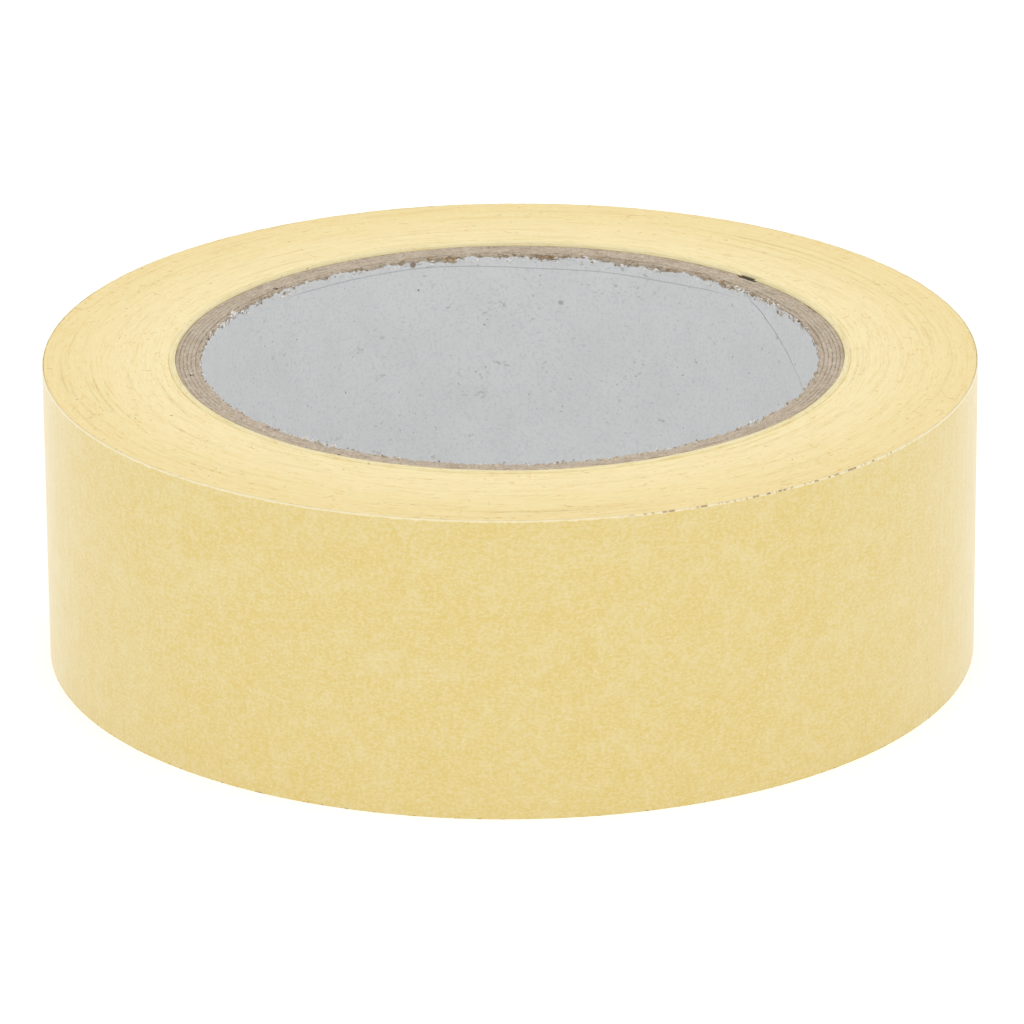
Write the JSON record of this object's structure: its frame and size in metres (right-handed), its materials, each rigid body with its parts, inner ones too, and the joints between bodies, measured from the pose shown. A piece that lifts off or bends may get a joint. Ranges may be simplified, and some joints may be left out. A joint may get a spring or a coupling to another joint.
{
  "type": "masking tape roll",
  "caption": "Roll of creped masking tape wound on a spiral paperboard core, with a free end that peels back from the outer turn.",
  "frame": {"origin": "on the axis of the bore, in the plane of the lower end face of the tape", "axes": "+Z along the bore axis towards the upper end face; the tape's free end stops 80 degrees anticlockwise from +X seen from above"},
  "size_m": [0.1159, 0.1159, 0.0383],
  "materials": {
    "liner_paper": "matte grey liner paper",
    "core_board": "matte grey-brown chipboard",
    "first_turns": "matte cut edges of tape",
    "tape_edges": "matte cut edges of tape",
    "adhesive": "tacky rubber adhesive on creped paper",
    "crepe_paper": "matte saturated creped paper"
  },
  "bodies": {
    "roll": {"core_liner": "liner_paper", "core_ply_1": "core_board", "core_ply_2": "core_board", "core_ply_3": "core_board", "core_ply_4": "core_board", "core_ply_5": "core_board", "core_ply_6": "core_board", "start_turns": "first_turns", "wound_turns": "tape_edges", "outer_turn_adhesive": "adhesive", "outer_turn_backing": "crepe_paper"},
    "tail_1": {"tail_backing_1": "crepe_paper", "tail_adhesive_1": "adhesive"},
    "tail_2": {"tail_backing_2": "crepe_paper", "tail_adhesive_2": "adhesive"},
    "tail_3": {"tail_backing_3": "crepe_paper", "tail_adhesive_3": "adhesive"},
    "tail_4": {"tail_backing_4": "crepe_paper", "tail_adhesive_4": "adhesive"},
    "tail_5": {"tail_backing_5": "crepe_paper", "tail_adhesive_5": "adhesive"},
    "tail_6": {"tail_backing_6": "crepe_paper", "tail_adhesive_6": "adhesive"},
    "tail_7": {"tail_backing_7": "crepe_paper", "tail_adhesive_7": "adhesive"},
    "tail_8": {"tail_backing_8": "crepe_paper", "tail_adhesive_8": "adhesive"}
  },
  "joints": [
    {"name": "tail_peel", "type": "hinge", "parent": "roll", "child": "tail_1", "pos_m": [0.03544, 0.04594, 0.019], "axis": [0, 0, -1], "range_deg": [0, 26]},
    {"name": "tail_bend_2", "type": "hinge", "parent": "tail_1", "child": "tail_2", "pos_m": [0.03261, 0.04799, 0.019], "axis": [0, 0, -1], "range_deg": [0, 26]},
    {"name": "tail_bend_3", "type": "hinge", "parent": "tail_2", "child": "tail_3", "pos_m": [0.02965, 0.04987, 0.019], "axis": [0, 0, -1], "range_deg": [0, 26]},
    {"name": "tail_bend_4", "type": "hinge", "parent": "tail_3", "child": "tail_4", "pos_m": [0.02659, 0.05157, 0.019], "axis": [0, 0, -1], "range_deg": [0, 15.6]},
    {"name": "tail_bend_5", "type": "hinge", "parent": "tail_4", "child": "tail_5", "pos_m": [0.02344, 0.05308, 0.019], "axis": [0, 0, -1], "range_deg": [0, 10.4]},
    {"name": "tail_bend_6", "type": "hinge", "parent": "tail_5", "child": "tail_6", "pos_m": [0.02019, 0.05439, 0.019], "axis": [0, 0, -1], "range_deg": [0, 7.8]},
    {"name": "tail_bend_7", "type": "hinge", "parent": "tail_6", "child": "tail_7", "pos_m": [0.01688, 0.05551, 0.019], "axis": [0, 0, -1], "range_deg": [0, 5.2]},
    {"name": "tail_bend_8", "type": "hinge", "parent": "tail_7", "child": "tail_8", "pos_m": [0.0135, 0.05643, 0.019], "axis": [0, 0, -1], "range_deg": [0, 2.6]}
  ],
  "couplings": [
    {"joint": "tail_bend_2", "follows": "tail_peel", "ratio": 1},
    {"joint": "tail_bend_3", "follows": "tail_peel", "ratio": 1},
    {"joint": "tail_bend_4", "follows": "tail_peel", "ratio": 0.6},
    {"joint": "tail_bend_5", "follows": "tail_peel", "ratio": 0.4},
    {"joint": "tail_bend_6", "follows": "tail_peel", "ratio": 0.3},
    {"joint": "tail_bend_7", "follows": "tail_peel", "ratio": 0.2},
    {"joint": "tail_bend_8", "follows": "tail_peel", "ratio": 0.1}
  ]
}
